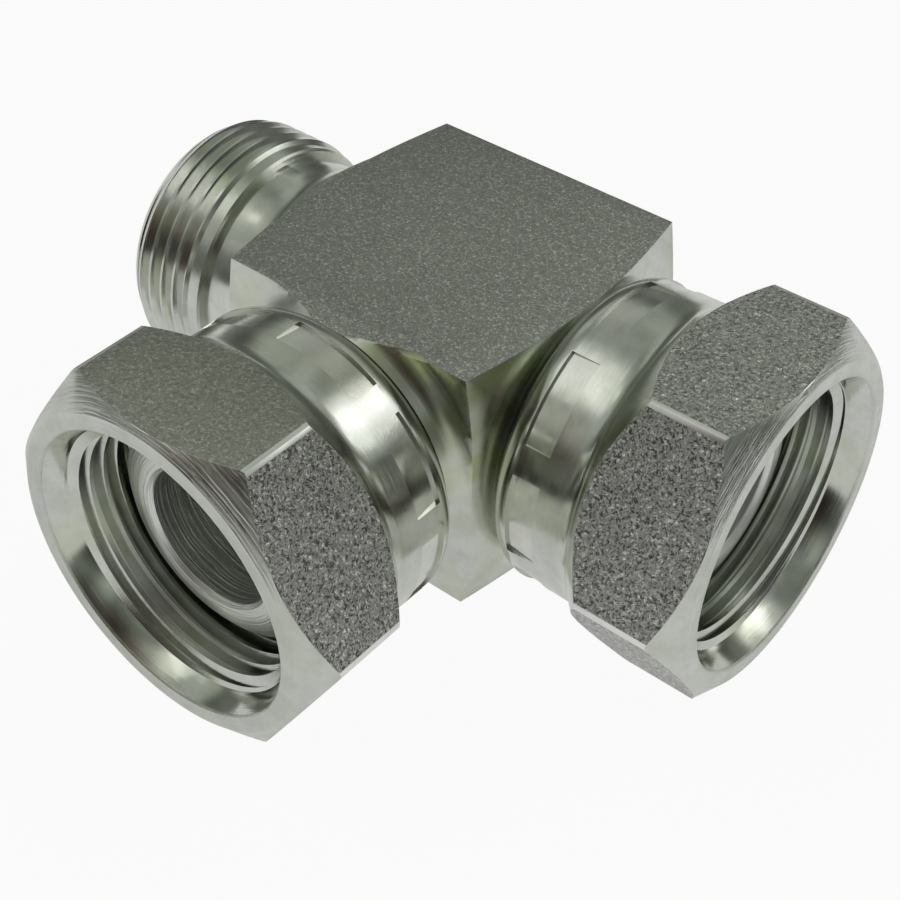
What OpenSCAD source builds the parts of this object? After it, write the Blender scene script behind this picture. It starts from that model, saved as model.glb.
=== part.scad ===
// Hydraulic tee: a machined square block with a male threaded stub and two crimped swivel nuts.
// Origin where the run and branch passages cross. Run nut to +X, stub to -X, branch nut to -Y, Z up.

/* [Block] */
// half length of the block along the run, at its corners
block_half_x = 17.0; // [15:0.1:20]
// half length of the block along the branch
block_half_y = 19.2; // [17:0.1:22]
// half height of the block
block_half_z = 16.6; // [14:0.1:18]
// slope of the two turned end faces, in degrees from the flat
face_slope = 14; // [6:1:20]
// radius of the passages through the block
passage_r = 8.6; // [7:0.1:10]

/* [Male stub] */
// distance of the stub's end face from the origin
stub_end = 40.0; // [37:0.1:46]
// outside radius of the male thread, a 33 mm thread
male_r = 16.5; // [16:0.1:17]
// length of the stub's threaded end with its land and chamfer
male_len = 12.4; // [12:0.1:16]
// radius at the root of the male thread
male_root_r = 15.3; // [15.1:0.1:15.6]
// radius of the plain land behind the thread
male_land_r = 16.0; // [15.6:0.1:16.3]
// length of that land
male_land_len = 1.8; // [1:0.1:2.2]
// pitch of the male and the female threads
thread_pitch = 2.0; // [1.5:0.1:2.3]
// number of full ridges on the stub
male_ridges = 4; // [2:1:4]
// length of the chamfer at the stub's end
male_chamfer_len = 2.6; // [1:0.1:4]
// radial height of that chamfer
male_chamfer_h = 1.7; // [1:0.1:2.5]
// radius of the relief behind the thread
relief_r = 15.0; // [14:0.1:15.4]
// radius of the cone seat at its mouth
seat_mouth_r = 12.6; // [11:0.1:13.2]
// half angle of the cone seat, in degrees
seat_angle = 30; // [24:1:37]

/* [Swivel nuts] */
// size across the flats of both nuts, a 41 mm spanner
nut_af = 41.0; // [39:0.1:44]
// length of a nut from the crimped lip to the front face
nut_len = 27.0; // [26.5:0.1:30]
// distance of the run nut's rear face from the origin
run_nut_start = 19.9; // [19.6:0.1:22]
// distance of the branch nut's rear face from the origin
branch_nut_start = 22.2; // [21.8:0.1:24]
// turn of the run nut about its axis, in degrees
run_nut_turn = 3.1; // [-10:0.1:10]
// turn of the branch nut about its axis, in degrees
branch_nut_turn = -1.2; // [-10:0.1:10]
// outside radius of the crimped skirt
skirt_r = 19.0; // [18:0.1:19.8]
// length of the skirt before the flare to the hexagon
skirt_len = 10.2; // [9:0.1:11.5]
// length by which the skirt's rear is crimped inwards
crimp_len = 2.4; // [1.5:0.1:3]
// outside radius of the nut's rear face
crimp_r = 17.4; // [16.6:0.1:18]
// axial length of the chamfer across the hexagon's front corners
nut_chamfer = 2.9; // [1.6:0.1:3.6]
// radius of the flat front face
nut_face_r = 19.8; // [18.8:0.1:20.2]
// radius of the nut's threaded hole at the thread crests
nut_thread_r = 15.4; // [15.2:0.1:15.6]
// radius at the root of the female thread
nut_root_r = 16.5; // [16.1:0.1:16.7]
// length of the female thread's crest at the mouth, up to the first groove
nut_crest_len = 2.9; // [2.5:0.1:3.1]
// number of grooves of the female thread behind that crest
nut_grooves = 2; // [1:1:2]
// radius of the relief behind the female thread
nut_relief_r = 16.8; // [16.2:0.1:17.2]
// radius of the mouth at the front face
nut_mouth_r = 17.9; // [17.2:0.1:18.6]
// length of the conical lead-in at the mouth
nut_lead_len = 3.6; // [2.5:0.1:4.2]
// length of the thread's own short chamfer inside the lead-in
nut_lead_step = 0.8; // [0.4:0.1:1.2]
// thickness of the crimped lip behind the spigot's collar
lip_len = 2.8; // [2:0.1:3.5]

/* [Spigots] */
// radius of the spigot's collar inside the nut
collar_r = 15.1; // [14.5:0.1:15.3]
// radius of the spigot's neck under the crimped lip
neck_r = 13.6; // [12.5:0.1:14]
// distance of the nose's tip behind the nut's front face
nose_set_back = 7.4; // [7:0.1:8.5]
// length of the nose's outer cone
nose_cone_len = 4.2; // [3:0.1:5]
// radius of the nose at the front of that cone
nose_r = 13.8; // [13:0.1:14.2]
// length of the domed front of the nose
nose_dome_len = 1.7; // [1:0.1:2]
// radius of the nose's tip, outside the bore's bevel
nose_tip_r = 10.0; // [9.8:0.1:11.2]
// size of the bevel at the bore's edge
bore_bevel = 0.5; // [0.3:0.1:0.8]

/* [Clearances] */
// radial clearance between collar and nut, and between neck and lip
swivel_gap = 0.3; // [0.2:0.05:0.5]
// axial clearance between the collar and the crimped lip
float_gap = 0.5; // [0.3:0.05:0.8]
// gap between the body's shoulder and the nut's rear face
shoulder_gap = 0.6; // [0.4:0.05:1]

/* [Hidden] */
round_fn = 64;
corner_r = sqrt(block_half_y * block_half_y + block_half_z * block_half_z);
slope = tan(face_slope);
over_r = corner_r + 6;
hex_r = nut_af / 2 / cos(30);
male_start = stub_end - male_len;
relief_len = 2.4;
thread_flank = 0.55;
thread_root_half = 0.2;
groove_half = thread_root_half + thread_flank;
male_groove = male_start + male_land_len + groove_half;
lead_r = nut_root_r + 0.1;
nose_tip = nut_len - nose_set_back;
thread_end = nut_len - nut_lead_len;
nut_groove = thread_end - nut_crest_len - groove_half;
cone_start = nose_tip - nose_dome_len - nose_cone_len;
relief_end = nut_groove - (nut_grooves - 1) * thread_pitch - groove_half - 0.5;
collar_start = lip_len + float_gap;
lip_r = neck_r + swivel_gap;
cavity_r = collar_r + swivel_gap;
face_x = block_half_x + (corner_r - crimp_r) * slope;
stub_shoulder_x = block_half_x + (corner_r - male_r) * slope;
run_shoulder = run_nut_start - shoulder_gap;
branch_shoulder = branch_nut_start - shoulder_gap;
seat_len = (seat_mouth_r - passage_r) / tan(seat_angle);
envelope_far = branch_shoulder + 6;

// envelope of the block turned about the run axis: coned end faces with a small fillet at each neck
module run_envelope() {
  rotate([0, 90, 0]) rotate_extrude($fn = round_fn) polygon([
    [0, -male_start - 0.5],
    [relief_r, -male_start - 0.5],
    [relief_r + 0.4, -male_start + relief_len],
    [male_r - 0.5, -stub_shoulder_x - 1.4],
    [male_r + 1.4, -stub_shoulder_x + 1.4 * slope],
    [over_r, -block_half_x + (over_r - corner_r) * slope],
    [over_r, block_half_x - (over_r - corner_r) * slope],
    [crimp_r, min(face_x, run_shoulder - 0.3)],
    [crimp_r - 1.4, run_shoulder],
    [0, run_shoulder]
  ]);
}

// envelope turned about the branch axis: flat face with a concave fillet towards the nut
module branch_envelope() {
  rotate([90, 0, 0]) rotate_extrude($fn = round_fn) polygon([
    [0, -envelope_far],
    [over_r, -envelope_far],
    [over_r, block_half_y],
    [crimp_r + 2.6, block_half_y],
    [crimp_r + 0.8, block_half_y + 0.5],
    [crimp_r - 0.4, block_half_y + 1.3],
    [crimp_r - 1.2, branch_shoulder],
    [0, branch_shoulder]
  ]);
}

module block_solid() {
  intersection() {
    translate([-male_start - 1, -branch_shoulder - 1, -block_half_z])
      cube([male_start + run_shoulder + 2, branch_shoulder + 1 + block_half_y, 2 * block_half_z]);
    run_envelope();
    branch_envelope();
  }
}

// spigot along +Z from the origin; start is where the nut's rear face lies
module spigot(start) {
  rotate_extrude($fn = round_fn) polygon([
    [0, 0],
    [neck_r, 0],
    [neck_r, start + collar_start],
    [collar_r, start + collar_start],
    [collar_r, start + cone_start],
    [nose_r, start + nose_tip - nose_dome_len],
    [nose_r - 1.2, start + nose_tip - nose_dome_len / 3],
    [nose_tip_r, start + nose_tip],
    [0, start + nose_tip]
  ]);
}

// passage with its bevel, along +Z
module spigot_bore(start) {
  rotate_extrude($fn = round_fn) polygon([
    [0, 0],
    [passage_r, 0],
    [passage_r, start + nose_tip - bore_bevel],
    [passage_r + bore_bevel + 0.1, start + nose_tip + 0.1],
    [0, start + nose_tip + 0.1]
  ]);
}

module stub() {
  rotate([0, -90, 0]) rotate_extrude($fn = round_fn) polygon([
    [0, 0],
    [relief_r, 0],
    [relief_r, male_start],
    [male_land_r, male_start],
    [male_land_r, male_groove - groove_half],
    for (i = [0 : male_ridges - 1]) each [
      [male_root_r, male_groove + i * thread_pitch - thread_root_half],
      [male_root_r, male_groove + i * thread_pitch + thread_root_half],
      [male_r, male_groove + i * thread_pitch + groove_half],
      [male_r, i < male_ridges - 1 ? male_groove + (i + 1) * thread_pitch - groove_half
                                   : stub_end - male_chamfer_len]
    ],
    [male_r - male_chamfer_h, stub_end],
    [0, stub_end]
  ]);
}

// passage of the stub with the cone seat at its mouth
module stub_bore() {
  rotate([0, -90, 0]) rotate_extrude($fn = round_fn) polygon([
    [0, 0],
    [passage_r, 0],
    [passage_r, stub_end - seat_len],
    [seat_mouth_r, stub_end],
    [seat_mouth_r, stub_end + 1],
    [0, stub_end + 1]
  ]);
}

module tee_body() {
  color([0.72, 0.73, 0.71]) difference() {
    union() {
      block_solid();
      stub();
      rotate([0, 90, 0]) spigot(run_nut_start);
      rotate([90, 0, 0]) spigot(branch_nut_start);
    }
    stub_bore();
    rotate([0, 90, 0]) spigot_bore(run_nut_start);
    rotate([90, 0, 0]) spigot_bore(branch_nut_start);
  }
}

// swivel nut along +Z with its crimped rear face at z = 0
module swivel_nut() {
  difference() {
    intersection() {
      cylinder(h = nut_len, r = hex_r, $fn = 6);
      rotate_extrude($fn = round_fn) polygon([
        [0, 0],
        [crimp_r, 0],
        [skirt_r - 0.3, crimp_len * 0.6],
        [skirt_r, crimp_len],
        [skirt_r, skirt_len],
        [skirt_r + 0.5, skirt_len + 1.1],
        [hex_r + 0.5, skirt_len + 1.1 + hex_r - skirt_r],
        [hex_r + 0.5, nut_len - nut_chamfer - 0.5 * nut_chamfer / (hex_r - nut_face_r)],
        [nut_face_r, nut_len],
        [0, nut_len]
      ]);
    }
    rotate_extrude($fn = round_fn) polygon([
      [0, -1],
      [lip_r, -1],
      [lip_r, lip_len],
      [cavity_r, lip_len],
      [cavity_r, cone_start],
      [nut_relief_r, cone_start + nut_relief_r - cavity_r],
      [nut_relief_r, relief_end],
      [nut_thread_r, relief_end],
      for (i = [nut_grooves - 1 : -1 : 0]) each [
        [nut_thread_r, nut_groove - i * thread_pitch - groove_half],
        [nut_root_r, nut_groove - i * thread_pitch - thread_root_half],
        [nut_root_r, nut_groove - i * thread_pitch + thread_root_half],
        [nut_thread_r, nut_groove - i * thread_pitch + groove_half]
      ],
      [nut_thread_r, thread_end],
      [lead_r, thread_end + nut_lead_step],
      [nut_mouth_r, nut_len],
      [nut_mouth_r, nut_len + 1],
      [0, nut_len + 1]
    ]);
  }
}

module branch_nut() {
  color([0.66, 0.67, 0.64])
    rotate([90, 0, 0]) translate([0, 0, branch_nut_start])
      rotate([0, 0, branch_nut_turn]) swivel_nut();
}

module run_nut() {
  color([0.66, 0.67, 0.64])
    rotate([90, 0, 90]) translate([0, 0, run_nut_start])
      rotate([0, 0, run_nut_turn]) swivel_nut();
}

tee_body();
branch_nut();
run_nut();
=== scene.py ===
import math
import bpy
from mathutils import Matrix, Vector


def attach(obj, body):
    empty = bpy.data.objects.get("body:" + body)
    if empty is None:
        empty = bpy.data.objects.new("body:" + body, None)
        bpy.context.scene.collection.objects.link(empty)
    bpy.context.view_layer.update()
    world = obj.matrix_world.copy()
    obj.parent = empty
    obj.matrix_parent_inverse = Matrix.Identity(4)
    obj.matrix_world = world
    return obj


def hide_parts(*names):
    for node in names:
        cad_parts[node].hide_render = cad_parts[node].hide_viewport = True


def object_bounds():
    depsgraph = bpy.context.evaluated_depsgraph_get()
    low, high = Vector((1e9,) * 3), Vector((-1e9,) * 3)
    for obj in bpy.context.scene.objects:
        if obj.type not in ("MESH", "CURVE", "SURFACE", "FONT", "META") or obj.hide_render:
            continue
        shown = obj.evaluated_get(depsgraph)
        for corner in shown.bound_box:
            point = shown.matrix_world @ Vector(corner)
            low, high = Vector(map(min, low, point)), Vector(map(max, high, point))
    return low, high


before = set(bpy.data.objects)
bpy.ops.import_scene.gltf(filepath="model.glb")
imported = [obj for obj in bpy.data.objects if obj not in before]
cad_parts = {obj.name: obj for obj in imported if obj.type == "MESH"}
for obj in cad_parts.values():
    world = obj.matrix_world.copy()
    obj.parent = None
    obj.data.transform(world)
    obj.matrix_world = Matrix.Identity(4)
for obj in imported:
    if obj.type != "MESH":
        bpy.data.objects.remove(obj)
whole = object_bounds()


# Tee body: one block of free-cutting steel, sawn from square bar. Its run ends are turned to
# shallow cones, and the stub, the spigots and the passages are turned and drilled in the same
# blank, which is then blasted on its bar faces and zinc plated.

MM = 0.001
BLOCK_X, BLOCK_Y, BLOCK_Z = 17.0, 19.2, 16.6
CORNER_R = math.hypot(BLOCK_Y, BLOCK_Z)
FACE_SLOPE = math.tan(math.radians(14))
PASSAGE_R = 8.6
STUB_END, MALE_R, MALE_START = 40.0, 16.5, 27.6
SEAT_R, SEAT_LEN = 12.6, 6.928
PITCH = 2.0
MALE_ROOT_R = 15.27
NUT_LEN = 27.0
RUN_START, BRANCH_START = 19.9, 22.2
NOSE_TIP = NUT_LEN - 7.4
RUN_WAY = Matrix.Rotation(math.radians(90), 4, "Z") @ Matrix.Rotation(math.radians(90), 4, "X")
STUB_WAY = Matrix.Rotation(math.radians(-90), 4, "Y")
BRANCH_WAY = Matrix.Rotation(math.radians(90), 4, "X")


def clear_selection():
    """Leaves object mode with nothing selected, so that the next operator acts on one piece."""
    if bpy.context.object and bpy.context.object.mode != "OBJECT":
        bpy.ops.object.mode_set(mode="OBJECT")
    bpy.ops.object.select_all(action="DESELECT")


def pick(piece):
    """Selects one piece and makes it the active one."""
    clear_selection()
    piece.select_set(True)
    bpy.context.view_layer.objects.active = piece


def turned(name, outline, steps=128, sweep=360.0):
    """A blank turned about +Z: a point is extruded through the outline, given as (radius,
    height) in millimetres, and spun. With a smaller sweep a closed outline makes a sector."""
    clear_selection()
    r, z = outline[0]
    bpy.ops.mesh.primitive_plane_add(size=MM, location=(r * MM, 0, z * MM))
    piece = bpy.context.object
    piece.name = piece.data.name = name
    bpy.ops.object.transform_apply(location=True, rotation=True, scale=True)
    bpy.ops.object.mode_set(mode="EDIT")
    bpy.ops.mesh.select_all(action="SELECT")
    bpy.ops.mesh.merge(type="CENTER")
    for before, after in zip(outline, outline[1:]):
        step = ((after[0] - before[0]) * MM, 0, (after[1] - before[1]) * MM)
        bpy.ops.mesh.extrude_region_move(TRANSFORM_OT_translate={"value": step})
    bpy.ops.mesh.select_all(action="SELECT")
    bpy.ops.mesh.remove_doubles(threshold=1e-6)
    bpy.ops.mesh.select_all(action="SELECT")
    bpy.ops.mesh.spin(steps=steps, angle=math.radians(sweep), center=(0, 0, 0), axis=(0, 0, 1))
    bpy.ops.mesh.select_all(action="SELECT")
    bpy.ops.mesh.remove_doubles(threshold=1e-6)
    if sweep < 360:
        bpy.ops.mesh.select_all(action="SELECT")
        bpy.ops.mesh.fill_holes(sides=0)
    bpy.ops.mesh.select_all(action="SELECT")
    bpy.ops.mesh.normals_make_consistent(inside=False)
    bpy.ops.object.mode_set(mode="OBJECT")
    return piece


def placed(piece, way):
    """Turns a piece into its place and applies it, so that its place is in its mesh."""
    pick(piece)
    piece.matrix_world = way
    bpy.ops.object.transform_apply(location=True, rotation=True, scale=True)
    return piece


def combined(piece, tool, how):
    """Joins, cuts or intersects a piece with a tool, which is used up. Corners that the cut
    left doubled are welded, so that the next cut meets a closed piece."""
    pick(piece)
    step = piece.modifiers.new("step", "BOOLEAN")
    step.operation, step.solver, step.object = how, "EXACT", tool
    bpy.ops.object.modifier_apply(modifier=step.name)
    bpy.data.objects.remove(tool, do_unlink=True)
    bpy.ops.object.mode_set(mode="EDIT")
    bpy.ops.mesh.select_all(action="SELECT")
    bpy.ops.mesh.remove_doubles(threshold=1e-6)
    bpy.ops.object.mode_set(mode="OBJECT")
    return piece


def broken_edges(piece, width, least_angle=30, segments=2):
    """Breaks every edge sharper than least_angle with a small round."""
    pick(piece)
    step = piece.modifiers.new("edges", "BEVEL")
    step.width, step.segments = width * MM, segments
    step.limit_method, step.angle_limit = "ANGLE", math.radians(least_angle)
    step.use_clamp_overlap = True
    bpy.ops.object.modifier_apply(modifier=step.name)
    return piece


def thread_groove(name, root_r, crest_r, start, end, steps=72):
    """The groove of a right-hand thread along +Z as a closed solid: a small flat is swept by a
    Screw modifier. It is narrowest at root_r and runs a little past crest_r."""
    open_r = crest_r + (0.2 if crest_r > root_r else -0.2)
    half = abs(open_r - root_r) * math.tan(math.radians(30)) + 0.12
    clear_selection()
    bpy.ops.mesh.primitive_plane_add(size=MM)
    tool = bpy.context.object
    tool.name = name
    flat = [(root_r, -0.12), (root_r, 0.12), (open_r, -half), (open_r, half)]
    for corner, (r, z) in zip(tool.data.vertices, flat):
        corner.co = (r * MM, 0, (start + z) * MM)
    turns = (end - start) / PITCH
    sweep = tool.modifiers.new("sweep", "SCREW")
    sweep.axis, sweep.angle, sweep.screw_offset = "Z", 2 * math.pi * turns, (end - start) * MM
    sweep.steps = sweep.render_steps = int(steps * turns)
    pick(tool)
    bpy.ops.object.mode_set(mode="EDIT")
    bpy.ops.mesh.select_all(action="SELECT")
    bpy.ops.mesh.delete(type="ONLY_FACE")
    bpy.ops.object.mode_set(mode="OBJECT")
    bpy.ops.object.modifier_apply(modifier=sweep.name)
    bpy.ops.object.mode_set(mode="EDIT")
    bpy.ops.mesh.select_all(action="SELECT")
    bpy.ops.mesh.remove_doubles(threshold=1e-7)
    bpy.ops.mesh.select_all(action="SELECT")
    bpy.ops.mesh.fill_holes(sides=0)
    bpy.ops.mesh.select_all(action="SELECT")
    bpy.ops.mesh.normals_make_consistent(inside=False)
    bpy.ops.object.mode_set(mode="OBJECT")
    return tool


def block_blank():
    """The length of square bar between its two turned ends and the turned branch face."""
    clear_selection()
    left, right, front = -MALE_START - 1, RUN_START + 0.4, -BRANCH_START - 0.4
    middle = ((left + right) / 2 * MM, (front + BLOCK_Y) / 2 * MM, 0)
    size = ((right - left) * MM, (BLOCK_Y - front) * MM, 2 * BLOCK_Z * MM)
    bpy.ops.mesh.primitive_cube_add(size=1, location=middle, scale=size)
    bar = bpy.context.object
    bar.name = bar.data.name = "tee_body_machined"
    bpy.ops.object.transform_apply(location=True, rotation=True, scale=True)
    over = CORNER_R + 6
    ends = turned("run_end_cones", [
        (0, -28.0), (14.95, -28.0), (15.0, -24.5), (15.1, -22.8), (15.4, -21.5), (15.9, -20.5),
        (16.7, -19.7), (17.9, -18.95),
        (over, -BLOCK_X + (over - CORNER_R) * FACE_SLOPE),
        (over, BLOCK_X - (over - CORNER_R) * FACE_SLOPE),
        (17.5, 18.96), (16.9, 19.05), (16.4, 19.2), (16.1, 19.35), (0, 19.35)])
    combined(bar, placed(ends, RUN_WAY), "INTERSECT")
    face = turned("branch_face", [
        (0, -28), (over, -28), (over, BLOCK_Y), (20.2, BLOCK_Y), (19.2, 19.32), (18.3, 19.62),
        (17.6, 20.1), (17.05, 20.75), (16.75, 21.6), (0, 21.6)])
    combined(bar, placed(face, BRANCH_WAY), "INTERSECT")
    return broken_edges(bar, 0.22, 35)


def spigot(start):
    """The tube end inside a nut: neck, collar under the crimped lip, and coned nose."""
    return turned("spigot", [
        (0, 15), (13.6, 15), (13.6, start + 3.3), (14.8, start + 3.3), (15.1, start + 3.6),
        (15.1, start + 13.7), (14.0, start + 17.6), (13.8, start + 17.95), (13.4, start + 18.3),
        (12.6, start + 18.8), (11.6, start + 19.25), (10.6, start + 19.5), (9.9, start + 19.6),
        (0, start + 19.6)])


tee = block_blank()
combined(tee, placed(turned("stub_blank", [
    (0, 20), (14.4, 20), (14.4, MALE_START), (15.7, MALE_START), (16.0, MALE_START + 0.25),
    (16.05, 29.4), (MALE_R, 29.8), (MALE_R, STUB_END - 2.6), (15.1, STUB_END - 0.4),
    (14.75, STUB_END), (0, STUB_END)]),
    STUB_WAY), "UNION")
combined(tee, placed(spigot(RUN_START), RUN_WAY), "UNION")
combined(tee, placed(spigot(BRANCH_START), BRANCH_WAY), "UNION")
run_tip, branch_tip = RUN_START + NOSE_TIP, BRANCH_START + NOSE_TIP
combined(tee, placed(turned("run_drill", [
    (0, -41), (SEAT_R + 0.58, -41), (SEAT_R, -STUB_END), (PASSAGE_R, -STUB_END + SEAT_LEN),
    (PASSAGE_R, run_tip - 0.5), (9.15, run_tip + 0.05), (9.15, run_tip + 1), (0, run_tip + 1)]),
    RUN_WAY), "DIFFERENCE")
combined(tee, placed(turned("branch_drill", [
    (0, 0), (PASSAGE_R, 0), (PASSAGE_R, branch_tip - 0.5), (9.15, branch_tip + 0.05),
    (9.15, branch_tip + 1), (0, branch_tip + 1)]), BRANCH_WAY), "DIFFERENCE")
combined(tee, placed(thread_groove(
    "stub_thread", MALE_ROOT_R, MALE_R, 30.1, STUB_END + 1.2),
    STUB_WAY @ Matrix.Rotation(math.radians(170), 4, "Z")), "DIFFERENCE")
NICK_AT, NICK_R, NICK_DEPTH = (10.45, -19.1, BLOCK_Z), 9.0, 0.16
reach = (NICK_R - NICK_DEPTH) * math.sqrt(0.5)
clear_selection()
bpy.ops.mesh.primitive_uv_sphere_add(
    segments=48, ring_count=24, radius=NICK_R * MM,
    location=(NICK_AT[0] * MM, (NICK_AT[1] - reach) * MM, (NICK_AT[2] + reach) * MM))
combined(tee, bpy.context.object, "DIFFERENCE")


def wired(tree, kind, links=None, **values):
    """Adds a node, sets its values by attribute or by socket name, and links its inputs."""
    node = tree.nodes.new(kind)
    for name, value in values.items():
        if hasattr(node, name):
            setattr(node, name, value)
        else:
            node.inputs[name.replace("_", " ")].default_value = value
    for socket, source in (links or {}).items():
        tree.links.new(source, node.inputs[socket])
    return node


def new_group(name, inputs, outputs):
    """A shader node group with its sockets, and its two end nodes."""
    tree = bpy.data.node_groups.new(name, "ShaderNodeTree")
    for label, kind, value in inputs:
        socket = tree.interface.new_socket(label, in_out="INPUT", socket_type=kind)
        if value is not None:
            socket.default_value = value
    for label, kind in outputs:
        tree.interface.new_socket(label, in_out="OUTPUT", socket_type=kind)
    return tree, tree.nodes.new("NodeGroupInput"), tree.nodes.new("NodeGroupOutput")


def band(tree, source, low, high, out_low=0.0, out_high=1.0):
    """Maps a grey range to another with soft ends."""
    return wired(tree, "ShaderNodeMapRange", {"Value": source}, interpolation_type="SMOOTHSTEP",
                 From_Min=low, From_Max=high, To_Min=out_low, To_Max=out_high).outputs["Result"]


def scaled(tree, source, factor):
    """A vector times one number, which may be a socket."""
    node = wired(tree, "ShaderNodeVectorMath", {0: source}, operation="SCALE")
    if isinstance(factor, (int, float)):
        node.inputs["Scale"].default_value = factor
    else:
        tree.links.new(factor, node.inputs["Scale"])
    return node.outputs["Vector"]


def math_node(tree, how, first, second=None):
    """One sum; each side is a number or a socket."""
    node = wired(tree, "ShaderNodeMath", operation=how)
    for slot, side in enumerate((first, second)):
        if side is None:
            continue
        if isinstance(side, (int, float)):
            node.inputs[slot].default_value = side
        else:
            tree.links.new(side, node.inputs[slot])
    return node.outputs[0]


def lathe_lines_group():
    """Fine tool lines round the axis +Z of the vector it is given, with a few deeper ones."""
    tree, start, end = new_group("lathe lines", [
        ("Vector", "NodeSocketVector", None), ("Lines per metre", "NodeSocketFloat", 2500.0)],
        [("Height", "NodeSocketFloat"), ("Streak", "NodeSocketFloat")])
    parts = wired(tree, "ShaderNodeSeparateXYZ", {0: start.outputs["Vector"]})
    flat = wired(tree, "ShaderNodeCombineXYZ", {0: parts.outputs["X"], 1: parts.outputs["Y"]})
    radius = wired(tree, "ShaderNodeVectorMath", {0: flat.outputs[0]}, operation="LENGTH")
    rz = wired(tree, "ShaderNodeCombineXYZ", {0: radius.outputs["Value"], 2: parts.outputs["Z"]})
    drift = wired(tree, "ShaderNodeTexNoise", {"Vector": start.outputs["Vector"]}, Scale=130.0)
    lifted = math_node(tree, "MULTIPLY", drift.outputs["Fac"], 0.0006)
    swayed = wired(tree, "ShaderNodeCombineXYZ", {0: lifted, 1: lifted, 2: lifted})
    path = wired(tree, "ShaderNodeVectorMath", {0: rz.outputs[0], 1: swayed.outputs[0]})
    fine = wired(tree, "ShaderNodeTexNoise", {
        "Vector": scaled(tree, path.outputs[0], start.outputs["Lines per metre"])},
        Scale=1.0, Detail=3.0, Roughness=0.65)
    broad = wired(tree, "ShaderNodeTexNoise", {"Vector": path.outputs[0]},
                  Scale=420.0, Detail=1.0)
    tree.links.new(fine.outputs["Fac"], end.inputs["Height"])
    tree.links.new(broad.outputs["Fac"], end.inputs["Streak"])
    return tree


def grit_group():
    """Blasted or forged skin: grains with a few bright and a few dark ones."""
    tree, start, end = new_group("grit", [
        ("Vector", "NodeSocketVector", None), ("Grains per metre", "NodeSocketFloat", 1500.0)],
        [("Height", "NodeSocketFloat"), ("Bright", "NodeSocketFloat"), ("Dark", "NodeSocketFloat")])
    grains = scaled(tree, start.outputs["Vector"], start.outputs["Grains per metre"])
    coarse = wired(tree, "ShaderNodeTexNoise", {"Vector": grains}, Scale=1.0, Detail=3.0,
                   Roughness=0.6, Distortion=0.9)
    cells = wired(tree, "ShaderNodeTexVoronoi", {"Vector": grains}, Scale=0.8)
    height = math_node(tree, "ADD", coarse.outputs["Fac"],
                       math_node(tree, "MULTIPLY", cells.outputs["Distance"], -0.35))
    tree.links.new(height, end.inputs["Height"])
    tree.links.new(band(tree, coarse.outputs["Fac"], 0.54, 0.64), end.inputs["Bright"])
    tree.links.new(band(tree, coarse.outputs["Fac"], 0.48, 0.39), end.inputs["Dark"])
    return tree


LATHE_LINES = lathe_lines_group()
GRIT = grit_group()


def plated(name, roughness):
    """A zinc-plated material with its Principled shader, its tree and its object coordinates."""
    material = bpy.data.materials.new(name)
    material.use_nodes = True
    tree = material.node_tree
    shader = tree.nodes["Principled BSDF"]
    shader.inputs["Metallic"].default_value = 1.0
    shader.inputs["Roughness"].default_value = roughness
    coords = tree.nodes.new("ShaderNodeTexCoord").outputs["Object"]
    return material, tree, shader, coords


def colours(tree, mask, low, high):
    """Mixes two colours by a mask."""
    node = wired(tree, "ShaderNodeMix", {"Factor": mask}, data_type="RGBA")
    for slot, colour in ((6, low), (7, high)):
        if isinstance(colour, tuple):
            node.inputs[slot].default_value = (*colour, 1.0)
        else:
            tree.links.new(colour, node.inputs[slot])
    return node.outputs[2]


def bumped(tree, shader, height, depth, strength=1.0):
    """Feeds a height through a Bump node to the shader."""
    bump = wired(tree, "ShaderNodeBump", {"Height": height}, Distance=depth, Strength=strength)
    tree.links.new(bump.outputs["Normal"], shader.inputs["Normal"])


def turned_steel(name, axis_turn, colour=(0.72, 0.735, 0.70), dull=(0.60, 0.62, 0.575),
                 rough=(0.13, 0.22), lines=2600.0, depth=0.000012, olive=0.25, olive_at=None):
    """Zinc on turned steel, with tool lines round the piece's own axis. The passivation has an
    olive cast in patches, and more of it near one place where it ran together."""
    material, tree, shader, coords = plated(name, rough[0])
    turn = wired(tree, "ShaderNodeMapping", {"Vector": coords}, Rotation=axis_turn)
    marks = wired(tree, "ShaderNodeGroup", node_tree=LATHE_LINES)
    tree.links.new(turn.outputs[0], marks.inputs["Vector"])
    marks.inputs["Lines per metre"].default_value = lines
    cloud = wired(tree, "ShaderNodeTexNoise", {"Vector": coords}, Scale=260.0, Detail=5.0,
                  Roughness=0.65)
    worn = band(tree, cloud.outputs["Fac"], 0.3, 0.75)
    patches = wired(tree, "ShaderNodeTexNoise", {"Vector": coords}, Scale=110.0, Detail=2.0)
    patchy = band(tree, patches.outputs["Fac"], 0.42, 0.62)
    cast = math_node(tree, "MULTIPLY", patchy, olive)
    if olive_at:
        gap = wired(tree, "ShaderNodeVectorMath", {0: coords}, operation="DISTANCE")
        gap.inputs[1].default_value = olive_at
        near = band(tree, gap.outputs["Value"], 0.018, 0.007, 0.0, 0.85)
        cast = math_node(tree, "MAXIMUM", cast, math_node(tree, "MULTIPLY", near, patchy))
    plain = colours(tree, worn, colour, dull)
    tree.links.new(colours(tree, cast, plain, (0.47, 0.53, 0.28)), shader.inputs["Base Color"])
    tree.links.new(band(tree, marks.outputs["Streak"], 0.35, 0.7, *rough),
                   shader.inputs["Roughness"])
    bumped(tree, shader, marks.outputs["Height"], depth)
    return material


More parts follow.
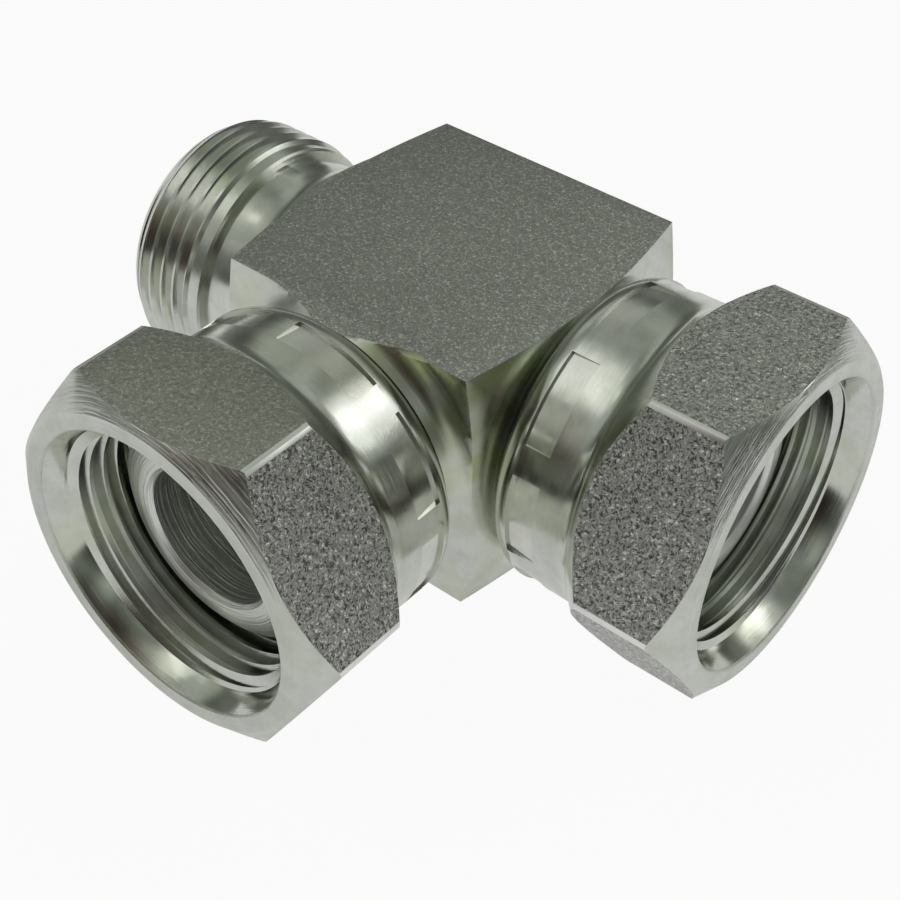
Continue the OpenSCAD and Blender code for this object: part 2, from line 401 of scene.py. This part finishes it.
def gritty_steel(name, base, bright, dark, rough, grains, depth):
    """Zinc on a blasted or forged skin, speckled by its grains."""
    material, tree, shader, coords = plated(name, rough[0])
    grit = wired(tree, "ShaderNodeGroup", node_tree=GRIT)
    tree.links.new(coords, grit.inputs["Vector"])
    grit.inputs["Grains per metre"].default_value = grains
    lit = colours(tree, grit.outputs["Bright"], base, bright)
    tree.links.new(colours(tree, grit.outputs["Dark"], lit, dark), shader.inputs["Base Color"])
    tree.links.new(band(tree, grit.outputs["Bright"], 0.0, 1.0, rough[1], rough[0]),
                   shader.inputs["Roughness"])
    bumped(tree, shader, grit.outputs["Height"], depth)
    return material


def finish_piece(piece, materials, choose, node, body):
    """Smooths a piece, gives each face its finish by place and normal, and ties it in."""
    pick(piece)
    bpy.ops.object.shade_smooth_by_angle(angle=math.radians(32))
    for material in materials:
        piece.data.materials.append(material)
    for face in piece.data.polygons:
        face.material_index = choose(face.center / MM, face.normal)
    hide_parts(node)
    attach(piece, body)


RUN_TURN = (0.0, math.radians(-90), 0.0)
BRANCH_TURN = (math.radians(90), 0.0, 0.0)
OLIVE_AT = (0.0155, -0.0185, 0.0115)
TURNED_RUN = turned_steel("zinc turned along the run", RUN_TURN)
TURNED_BRANCH = turned_steel("zinc turned along the branch", BRANCH_TURN)
ENDS_RUN = turned_steel("zinc turned run ends", RUN_TURN, rough=(0.24, 0.36), olive_at=OLIVE_AT)
ENDS_BRANCH = turned_steel("zinc turned branch face", BRANCH_TURN, rough=(0.24, 0.36),
                           olive_at=OLIVE_AT)
# Passages and noses: zinc painted lighter than the outside, which stands in for light in the shaded
# bores.
BORED_RUN_PAINTED_LIGHTER = turned_steel("zinc bored run, painted lighter", RUN_TURN, (0.90, 0.92, 0.89), (0.80, 0.83, 0.79),
                         (0.40, 0.52), lines=1800.0, depth=0.00018, olive=0.1)
BORED_BRANCH_PAINTED_LIGHTER = turned_steel("zinc bored branch, painted lighter", BRANCH_TURN, (0.90, 0.92, 0.89),
                            (0.80, 0.83, 0.79), (0.40, 0.52), lines=1800.0, depth=0.00018,
                            olive=0.1)
BLASTED = gritty_steel("zinc blasted bar face", (0.44, 0.455, 0.425), (0.82, 0.83, 0.80),
                       (0.34, 0.355, 0.335), (0.34, 0.52), 3400.0, 0.00006)


def tee_finish(centre, normal):
    """0 blasted bar face, 1 and 2 turned ends and face, 3 and 4 passages and noses, 5 stub."""
    x, y, z = centre
    if x > run_tip - 2.2 or (abs(math.hypot(y, z) - PASSAGE_R) < 0.1 and abs(normal.x) < 0.1):
        return 3
    if y < -branch_tip + 2.2 or (abs(math.hypot(x, z) - PASSAGE_R) < 0.1 and y < 0
                                 and abs(normal.y) < 0.1):
        return 4
    if abs(normal.z) > 0.98 and abs(z) > BLOCK_Z - 0.1:
        return 0
    if normal.y > 0.98 and y > BLOCK_Y - 0.1:
        return 0
    if y < -BLOCK_Y + 0.5 and abs(x) < BLOCK_X + 0.5:
        return 2
    return 5 if x < -BLOCK_X - 5 else 1


finish_piece(tee, [BLASTED, ENDS_RUN, ENDS_BRANCH, BORED_RUN_PAINTED_LIGHTER, BORED_BRANCH_PAINTED_LIGHTER, TURNED_RUN],
             tee_finish, "tee_body", "tee")


# Swivel nuts: hot-forged hexagon steel, bored, threaded and chamfered on a lathe. The thin
# rear skirt is crimped over the spigot's collar by jaws that leave shallow marks, so the nut
# still turns. The forged flats keep a coarse skin under the zinc.

NUT_AF = 41.0
HEX_R = NUT_AF / 2 / math.cos(math.radians(30))
SKIRT_R, LIP_R, CAVITY_R = 19.0, 13.9, 15.4
THREAD_R, RELIEF_R, MOUTH_R = 15.4, 16.8, 18.0
FEMALE_ROOT_R = 16.5


def swivel_nut(name, way, turn, mark_angle):
    """One nut with its crimped rear face at the start of its way along +Z."""
    clear_selection()
    bpy.ops.mesh.primitive_cylinder_add(vertices=6, radius=HEX_R * MM, depth=NUT_LEN * MM,
                                        location=(0, 0, NUT_LEN / 2 * MM),
                                        rotation=(0, 0, math.radians(30)))
    nut = bpy.context.object
    nut.name = nut.data.name = name
    bpy.ops.object.transform_apply(location=True, rotation=True, scale=True)
    broken_edges(nut, 0.55, 40)
    form = turned("nut_form", [
        (0, 0), (17.0, 0), (17.6, 0.25), (18.2, 0.8), (18.65, 1.5), (18.95, 2.4), (19.0, 3.2),
        (18.95, 6.8), (19.0, 9.3), (19.1, 10.2), (19.4, 10.95), (19.9, 11.6),
        (HEX_R + 0.8, 10.8 + HEX_R + 0.8 - SKIRT_R), (HEX_R + 0.8, 23.5),
        (19.85, NUT_LEN), (0, NUT_LEN)])
    combined(nut, form, "INTERSECT")
    broken_edges(nut, 0.14, 25)
    combined(nut, turned("nut_bore", [
        (0, -1), (LIP_R, -1), (LIP_R, 2.6), (CAVITY_R, 2.8), (CAVITY_R, 13.8),
        (RELIEF_R, 15.2), (RELIEF_R, 16.2), (THREAD_R, 16.7), (THREAD_R, 23.4), (16.6, 24.2),
        (17.7, 26.75), (17.95, NUT_LEN), (17.95, 28), (0, 28)]), "DIFFERENCE")
    combined(nut, thread_groove("nut_thread", FEMALE_ROOT_R, THREAD_R, 15.9, 25.0), "DIFFERENCE")
    for step in range(8):
        mark = turned("crimp_mark", [(18.6, 2.75), (20.5, 2.75), (20.5, 6.35), (18.82, 6.35),
                                     (18.6, 2.75)], steps=14, sweep=34)
        angle = math.radians(mark_angle - 17 + 45 * step)
        combined(nut, placed(mark, Matrix.Rotation(angle, 4, "Z")), "DIFFERENCE")
    return placed(nut, way @ Matrix.Translation((0, 0, 0)) @ Matrix.Rotation(turn, 4, "Z"))


def nut_faces(way, turn):
    """How a nut's faces are told apart, in its own directions: forged flat or turned."""
    back = (way @ Matrix.Rotation(turn, 4, "Z")).inverted().to_3x3()
    rear = way.translation / MM

    def choose(centre, normal):
        spot, out = back @ (centre - rear), back @ normal
        reach = math.hypot(spot.x, spot.y)
        # A flat facing up takes slot 2: a copy of the forged flat with painted light, lighter on
        # the run nut and darker on the branch nut.
        if abs(out.z) < 0.02 and abs(spot.x * out.x + spot.y * out.y - NUT_AF / 2) < 0.05:
            return 2 if out.y > 0.9 else 1
        if out.z > 0.6 and reach > 16.5:
            return 3
        # Bevels along the hexagon's long edges take slot 5, whose near-white colour is a painted
        # highlight.
        if abs(out.z) < 0.02 and reach > 20.5:
            return 5
        return 4 if 2.8 < spot.z < 6.3 and 17 < reach < 18.9 else 0
    return choose


BRANCH_SEAT = BRANCH_WAY @ Matrix.Translation((0, 0, BRANCH_START * MM))
RUN_SEAT = RUN_WAY @ Matrix.Translation((0, 0, RUN_START * MM))
FORGED = gritty_steel("zinc forged flat", (0.54, 0.54, 0.52), (0.98, 0.98, 0.95),
                      (0.15, 0.15, 0.145), (0.22, 0.42), 2700.0, 0.00045)
# The run nut's top flat: the forged flat painted lighter, for the light that falls on it from
# above.
FORGED_TOP_PAINTED_LIGHTER = gritty_steel("zinc forged flat, run top, painted lighter", (0.66, 0.665, 0.63), (0.98, 0.98, 0.94),
                          (0.32, 0.325, 0.305), (0.22, 0.40), 2500.0, 0.00035)
# The branch nut's top flat: its finer grain is the forged skin's own, its darker colour is painted
# shade.
FORGED_SMOOTH_PAINTED_DARKER = gritty_steel("zinc forged flat, smoother, painted darker", (0.43, 0.435, 0.385),
                             (0.64, 0.64, 0.58), (0.34, 0.345, 0.30), (0.32, 0.44), 2600.0,
                             0.00008)
# Edge bevels of the nuts: near-white zinc, lighter than every other finish, a painted highlight
# line along each long edge.
EDGE_PAINTED_HIGHLIGHT = turned_steel("zinc broken edge with painted highlight", RUN_TURN, (0.94, 0.94, 0.92), (0.90, 0.91, 0.88),
                           (0.30, 0.40), depth=0.000004, olive=0.0)
PRESSED = turned_steel("zinc pressed bright", RUN_TURN, (0.76, 0.77, 0.73), (0.64, 0.655, 0.61),
                       (0.12, 0.20), depth=0.000008, olive=0.15)
FACED_RUN = turned_steel("zinc faced along the run", RUN_TURN, rough=(0.26, 0.40),
                         lines=3000.0, depth=0.00012, olive=0.1)
FACED_BRANCH = turned_steel("zinc faced along the branch", BRANCH_TURN, rough=(0.26, 0.40),
                            lines=3000.0, depth=0.00012, olive=0.1)
branch_turn, run_turn = math.radians(-1.2), math.radians(3.1)
branch_nut = swivel_nut("branch_nut_forged", BRANCH_SEAT, branch_turn, 66.0)
finish_piece(branch_nut, [TURNED_BRANCH, FORGED, FORGED_SMOOTH_PAINTED_DARKER, FACED_BRANCH, PRESSED,
                          EDGE_PAINTED_HIGHLIGHT],
             nut_faces(BRANCH_SEAT, branch_turn), "branch_nut", "branch_swivel")
run_nut = swivel_nut("run_nut_forged", RUN_SEAT, run_turn, 119.0)
finish_piece(run_nut, [TURNED_RUN, FORGED, FORGED_TOP_PAINTED_LIGHTER, FACED_RUN, PRESSED, EDGE_PAINTED_HIGHLIGHT],
             nut_faces(RUN_SEAT, run_turn), "run_nut", "run_swivel")


# Studio: a plain pale table and a white surround. The surround is white to the camera, and
# lights the metal as a soft tent with a darker side where the photographer stands.

low, high = whole
clear_selection()
bpy.ops.mesh.primitive_plane_add(size=3.0, location=(0, 0, low[2] - 0.00005))
floor = bpy.context.object
floor.name = "floor"
paper = bpy.data.materials.new("pale table")
paper.use_nodes = True
tree = paper.node_tree
shader = tree.nodes["Principled BSDF"]
shader.inputs["Base Color"].default_value = (0.86, 0.86, 0.86, 1.0)
shader.inputs["Roughness"].default_value = 0.9
white = wired(tree, "ShaderNodeEmission", Color=(1.0, 1.0, 1.0, 1.0), Strength=1.0)
path = tree.nodes.new("ShaderNodeLightPath")
share = math_node(tree, "ADD",
                  math_node(tree, "MULTIPLY", path.outputs["Is Camera Ray"], 0.94),
                  math_node(tree, "MULTIPLY", path.outputs["Is Glossy Ray"], 0.56))
both = wired(tree, "ShaderNodeMixShader", {0: share, 1: shader.outputs[0], 2: white.outputs[0]})
tree.links.new(both.outputs[0], tree.nodes["Material Output"].inputs["Surface"])
floor.data.materials.append(paper)

world = bpy.data.worlds.new("white tent")
bpy.context.scene.world = world
world.use_nodes = True
tree = world.node_tree
tree.nodes.clear()
way = tree.nodes.new("ShaderNodeTexCoord").outputs["Generated"]
parts = wired(tree, "ShaderNodeSeparateXYZ", {0: way})


def lobe(direction, low, high, dark, light):
    """A soft-edged patch of the tent round one direction."""
    towards = wired(tree, "ShaderNodeVectorMath", {0: way}, operation="DOT_PRODUCT")
    towards.inputs[1].default_value = Vector(direction).normalized()
    return band(tree, towards.outputs["Value"], low, high, dark, light)


base = band(tree, parts.outputs["Z"], 0.30, 0.52, 0.17, 0.40)
below = band(tree, parts.outputs["Z"], 0.06, -0.04, 0.0, 0.40)
base = math_node(tree, "ADD", base, below)
over_left = lobe((-0.46, -0.29, 0.85), 0.90, 0.985, 0.0, 0.35)
over_right = lobe((0.51, 0.58, 0.63), 0.91, 0.975, 0.0, 0.60)
photographer = lobe((0.22, -0.86, 0.36), 0.72, 0.95, 1.0, 0.12)
side = lobe((0.95, 0.05, 0.16), 0.80, 0.97, 1.0, 0.30)
brown = lobe((0.11, -0.93, 0.33), 0.75, 0.96, 0.0, 1.0)
folds = wired(tree, "ShaderNodeTexNoise", {"Vector": way}, Scale=2.2, Detail=1.0)
fold = band(tree, folds.outputs["Fac"], 0.4, 0.62, 0.6, 1.15)
level = math_node(tree, "ADD", math_node(tree, "ADD", base, over_left), over_right)
level = math_node(tree, "MULTIPLY", math_node(tree, "MULTIPLY", level, photographer), fold)
level = math_node(tree, "MULTIPLY", level, side)
tint = colours(tree, level, (0.84, 0.92, 0.80), (1.0, 1.0, 0.94))
tint = colours(tree, brown, tint, (1.30, 0.93, 0.84))
tent = wired(tree, "ShaderNodeBackground", {"Color": tint, "Strength": level})
plain = wired(tree, "ShaderNodeBackground", Color=(1.0, 1.0, 1.0, 1.0), Strength=1.0)
path = tree.nodes.new("ShaderNodeLightPath")
seen = wired(tree, "ShaderNodeMixShader", {0: path.outputs["Is Camera Ray"], 1: tent.outputs[0],
                                           2: plain.outputs[0]})
out = tree.nodes.new("ShaderNodeOutputWorld")
tree.links.new(seen.outputs[0], out.inputs["Surface"])


def soft_lamp(name, place, size, power):
    """A square soft box that faces the tee."""
    light = bpy.data.lights.new(name, "AREA")
    light.shape, light.size, light.energy = "SQUARE", size, power
    lamp = bpy.data.objects.new(name, light)
    bpy.context.scene.collection.objects.link(lamp)
    lamp.location = place
    lamp.rotation_euler = (-Vector(place)).to_track_quat("-Z", "Y").to_euler()
    return lamp


soft_lamp("top softbox", (-0.23, -0.15, 0.43), 0.24, 0.07)
soft_lamp("right softbox", (0.27, 0.30, 0.33), 0.20, 0.08)


# Camera: the photograph's angle, looking down on the front corner between the two nuts.

azimuth, elevation, roll = (math.radians(a) for a in (38.602, 41.851, 0.985))
target, distance = Vector((-0.283, 0.0, -15.954)) * MM, 212.201 * MM
back = Vector((math.sin(azimuth) * math.cos(elevation),
               -math.cos(azimuth) * math.cos(elevation), math.sin(elevation)))
right = Vector((math.cos(azimuth), math.sin(azimuth), 0.0))
up = back.cross(right)
right, up = (right * math.cos(roll) + up * math.sin(roll),
             up * math.cos(roll) - right * math.sin(roll))
lens = bpy.data.cameras.new("photo view")
lens.sensor_width, lens.lens, lens.clip_start = 36.0, 66.345, 0.01
camera = bpy.data.objects.new("photo view", lens)
bpy.context.scene.collection.objects.link(camera)
spot = target + back * distance
camera.matrix_world = Matrix(((right.x, up.x, back.x, spot.x), (right.y, up.y, back.y, spot.y),
                              (right.z, up.z, back.z, spot.z), (0, 0, 0, 1)))
bpy.context.scene.camera = camera
bpy.context.scene.view_settings.view_transform = "Standard"
